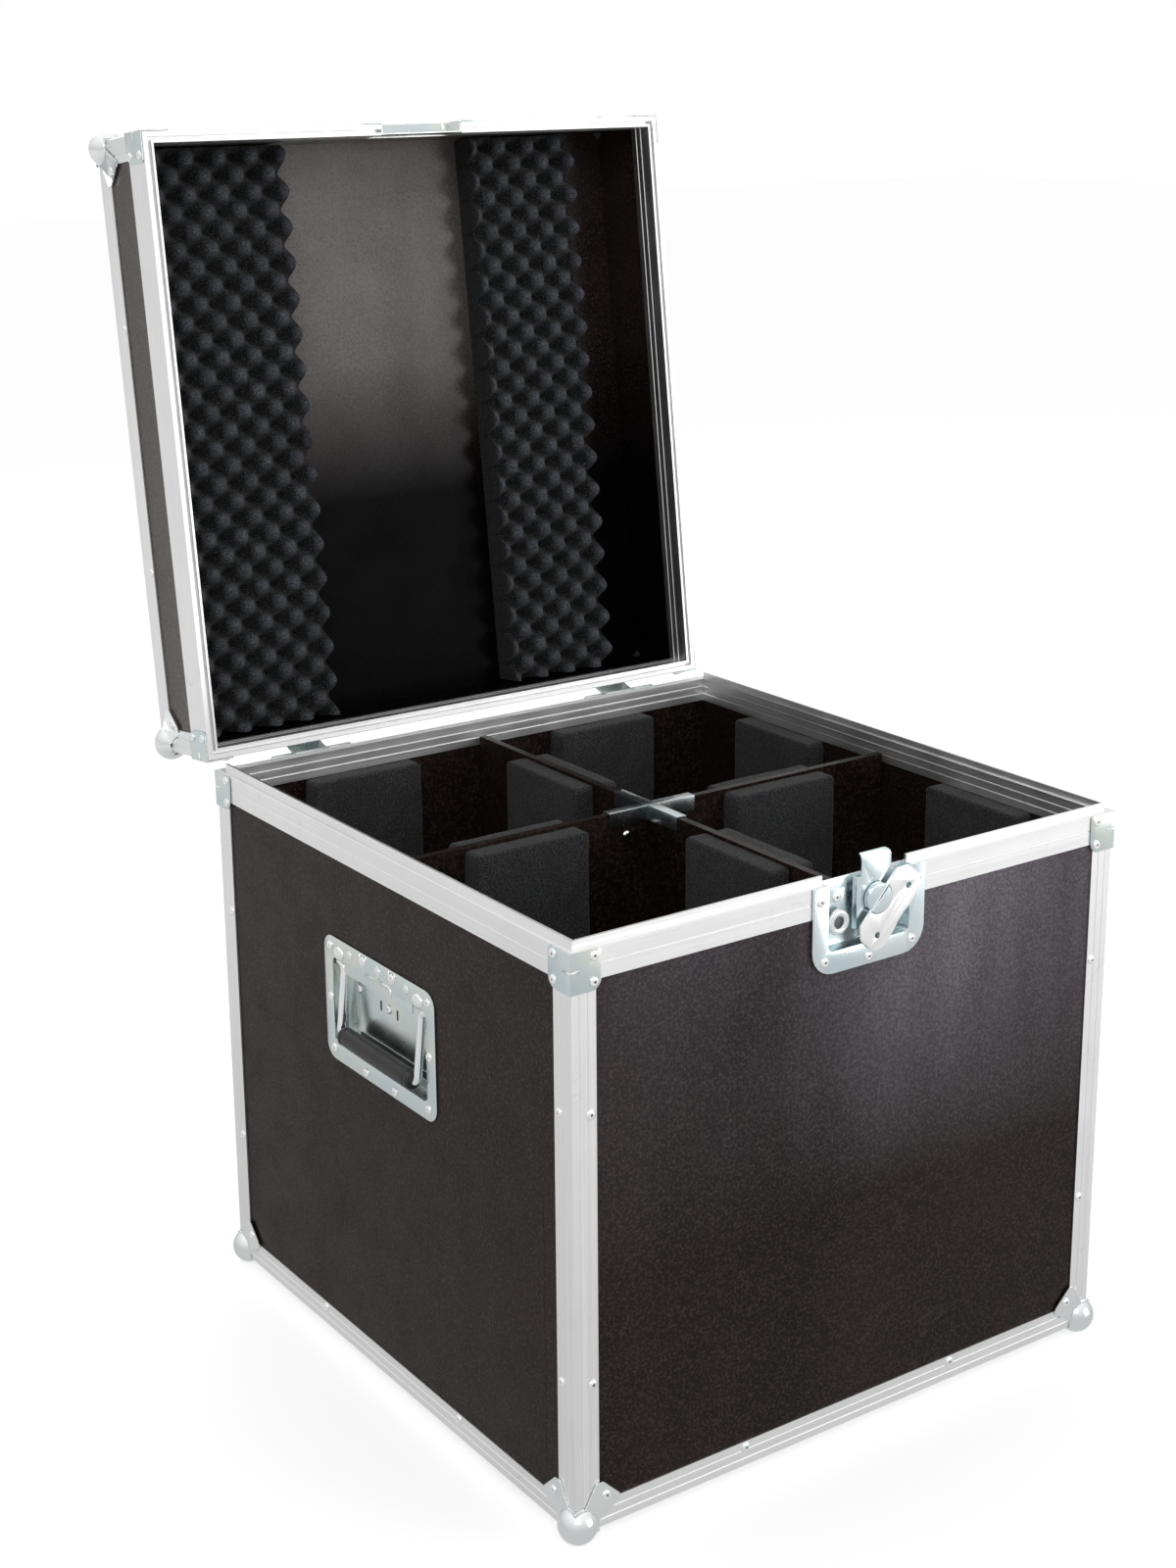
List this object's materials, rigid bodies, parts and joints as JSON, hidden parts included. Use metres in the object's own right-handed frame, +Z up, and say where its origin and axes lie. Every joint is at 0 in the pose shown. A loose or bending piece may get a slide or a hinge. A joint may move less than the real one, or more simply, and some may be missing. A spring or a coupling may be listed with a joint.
{
  "type": "lighting flight case",
  "caption": "Board flight case with aluminium edges, ball corners, sprung side handles, a recessed turning latch, padded compartments and a foam-lined hinged lid.",
  "frame": {"origin": "middle of the bounding box's underside with the lid open, on the floor under the ball corners", "axes": "+X to the right as seen from the latch, +Y from the latch to the hinges, +Z up"},
  "size_m": [0.5636, 0.7424, 1.0271],
  "materials": {
    "brown_film_board": "dark brown phenolic film on plywood, satin",
    "aluminium": "natural anodised, satin",
    "zinc_plated_steel": "bright zinc plated",
    "black_rubber": "matt",
    "charcoal_foam": "open-cell foam, matt"
  },
  "bodies": {
    "base": {"base_front_panel": "brown_film_board", "base_rear_panel": "brown_film_board", "base_left_panel": "brown_film_board", "base_right_panel": "brown_film_board", "base_bottom_panel": "brown_film_board", "base_bottom_frame": "aluminium", "base_rim": "aluminium", "base_front_left_edge": "aluminium", "base_front_right_edge": "aluminium", "base_rear_right_edge": "aluminium", "base_rear_left_edge": "aluminium", "base_front_left_ball_corner": "zinc_plated_steel", "base_front_right_ball_corner": "zinc_plated_steel", "base_rear_right_ball_corner": "zinc_plated_steel", "base_rear_left_ball_corner": "zinc_plated_steel", "base_front_left_brace": "zinc_plated_steel", "base_front_right_brace": "zinc_plated_steel", "base_rear_right_brace": "zinc_plated_steel", "base_rear_left_brace": "zinc_plated_steel", "left_handle_dish": "zinc_plated_steel", "right_handle_dish": "zinc_plated_steel", "latch_dish": "zinc_plated_steel", "base_left_hinge_leaf": "zinc_plated_steel", "base_right_hinge_leaf": "zinc_plated_steel", "cross_divider": "brown_film_board", "long_divider": "brown_film_board", "divider_cross_bracket": "zinc_plated_steel", "front_left_foam_liner": "charcoal_foam", "front_right_foam_liner": "charcoal_foam", "rear_left_foam_liner": "charcoal_foam", "rear_right_foam_liner": "charcoal_foam"},
    "lid": {"lid_front_panel": "brown_film_board", "lid_rear_panel": "brown_film_board", "lid_left_panel": "brown_film_board", "lid_right_panel": "brown_film_board", "lid_top_panel": "brown_film_board", "lid_edge_frame": "aluminium", "lid_rim": "aluminium", "lid_front_left_ball_corner": "zinc_plated_steel", "lid_front_right_ball_corner": "zinc_plated_steel", "lid_rear_right_ball_corner": "zinc_plated_steel", "lid_rear_left_ball_corner": "zinc_plated_steel", "lid_front_left_brace": "zinc_plated_steel", "lid_front_right_brace": "zinc_plated_steel", "lid_rear_right_brace": "zinc_plated_steel", "lid_rear_left_brace": "zinc_plated_steel", "keeper_dish": "zinc_plated_steel", "lid_left_hinge_leaf": "zinc_plated_steel", "lid_right_hinge_leaf": "zinc_plated_steel", "lid_left_crate_foam": "charcoal_foam", "lid_right_crate_foam": "charcoal_foam"},
    "left_handle": {"left_handle_bail": "zinc_plated_steel", "left_handle_grip": "black_rubber"},
    "right_handle": {"right_handle_bail": "zinc_plated_steel", "right_handle_grip": "black_rubber"},
    "spindle": {"latch_spindle": "zinc_plated_steel"},
    "wing": {"latch_wing": "zinc_plated_steel"},
    "hook": {"latch_hook": "zinc_plated_steel"}
  },
  "joints": [
    {"name": "lid_hinge", "type": "hinge", "parent": "base", "child": "lid", "pos_m": [0, 0.19404, 0.4746], "axis": [1, 0, 0], "range_deg": [0, 97.1]},
    {"name": "left_handle_hinge", "type": "hinge", "parent": "base", "child": "left_handle", "pos_m": [-0.2674, -0.08846, 0.3625], "axis": [0, 1, 0], "range_deg": [0, 84], "stiffness_Nm_per_rad": 0.2, "springref_deg": -28.65},
    {"name": "right_handle_hinge", "type": "hinge", "parent": "base", "child": "right_handle", "pos_m": [0.2674, -0.08846, 0.3625], "axis": [0, -1, 0], "range_deg": [0, 84], "stiffness_Nm_per_rad": 0.2, "springref_deg": -28.65},
    {"name": "latch_turn", "type": "hinge", "parent": "base", "child": "spindle", "pos_m": [0.0136, -0.36196, 0.4594], "axis": [0, 1, 0], "range_deg": [0, 180]},
    {"name": "wing_fold", "type": "hinge", "parent": "spindle", "child": "wing", "pos_m": [0.0136, -0.36461, 0.4594], "axis": [-0.6691, 0, -0.7431], "range_deg": [0, 180]},
    {"name": "hook_lift", "type": "slide", "parent": "base", "child": "hook", "axis": [0, 0.3511, -0.9363], "range_m": [0, 0.00855]}
  ],
  "couplings": [
    {"joint": "latch_turn", "follows": "hook_lift", "rad_per_m": 367.6}
  ]
}
